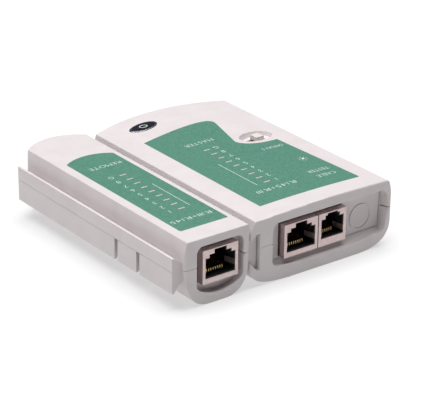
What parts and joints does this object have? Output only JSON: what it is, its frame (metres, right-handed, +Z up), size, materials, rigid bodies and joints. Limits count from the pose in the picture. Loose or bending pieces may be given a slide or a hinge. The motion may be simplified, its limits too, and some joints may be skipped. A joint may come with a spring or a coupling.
{
  "type": "network cable tester",
  "caption": "Handheld cable tester: a wide master with modular ports, lamp row, slide switch and battery, and a slim remote docked on a dovetail rail.",
  "frame": {"origin": "middle of the docked pair's bounding box, on the surface it stands on", "axes": "+X from the remote towards the master, +Y from the port faces towards the rounded backs, +Z up"},
  "size_m": [0.1024, 0.1112, 0.0278],
  "materials": {
    "case_plastic": "fine-textured warm off-white moulding",
    "label_print": "screen-printed green film with white marks",
    "badge": "domed glossy badge with a silver rim",
    "circuit_board": "solder mask",
    "lamp_lens": "milky lens",
    "resistor_body": "lacquered",
    "black_plastic": "moulded",
    "capacitor_sleeve": "shrink sleeve",
    "jack_metal": "nickel-plated sheet",
    "gold_contacts": "gold flash",
    "knob_plastic": "moulded",
    "battery_case": "printed jacket",
    "screw_steel": "zinc-plated",
    "snap_vinyl": "vinyl",
    "lead_red": "vinyl insulation",
    "lead_black": "vinyl insulation"
  },
  "bodies": {
    "master": {"master_top_shell": "case_plastic", "master_bottom_shell": "case_plastic", "master_end_plate": "case_plastic", "master_label": "label_print", "oval_badge": "badge", "master_circuit_board": "circuit_board", "master_lamps": "lamp_lens", "master_resistors": "resistor_body", "counter_chip": "black_plastic", "timer_chip": "black_plastic", "timing_capacitor": "capacitor_sleeve", "eight_pin_jack_shield": "jack_metal", "eight_pin_jack_housing": "black_plastic", "eight_pin_jack_contacts": "gold_contacts", "six_pin_jack_shield": "jack_metal", "six_pin_jack_housing": "black_plastic", "six_pin_jack_contacts": "gold_contacts", "switch_housing": "jack_metal", "switch_terminals": "jack_metal", "battery_9v": "battery_case", "battery_terminals": "screw_steel", "battery_snap": "snap_vinyl", "snap_contacts": "screw_steel", "battery_lead_red": "lead_red", "battery_lead_black": "lead_black", "master_case_screws": "screw_steel", "master_board_screws": "screw_steel"},
    "remote": {"remote_top_shell": "case_plastic", "remote_bottom_shell": "case_plastic", "remote_end_plate": "case_plastic", "remote_label": "label_print", "remote_circuit_board": "circuit_board", "remote_lamps": "lamp_lens", "remote_resistors": "resistor_body", "remote_jack_shield": "jack_metal", "remote_jack_housing": "black_plastic", "remote_jack_contacts": "gold_contacts", "remote_case_screws": "screw_steel", "remote_board_screws": "screw_steel"},
    "switch_knob": {"switch_knob": "knob_plastic"},
    "battery_door": {"battery_door": "case_plastic"}
  },
  "joints": [
    {"name": "remote_slide", "type": "slide", "parent": "master", "child": "remote", "axis": [0, -1, 0], "range_m": [-0.105, 0.105]},
    {"name": "switch_slide", "type": "slide", "parent": "master", "child": "switch_knob", "axis": [-1, 0, 0], "range_m": [0, 0.0036]},
    {"name": "battery_door_slide", "type": "slide", "parent": "master", "child": "battery_door", "axis": [0, 1, 0], "range_m": [0, 0.035]}
  ]
}
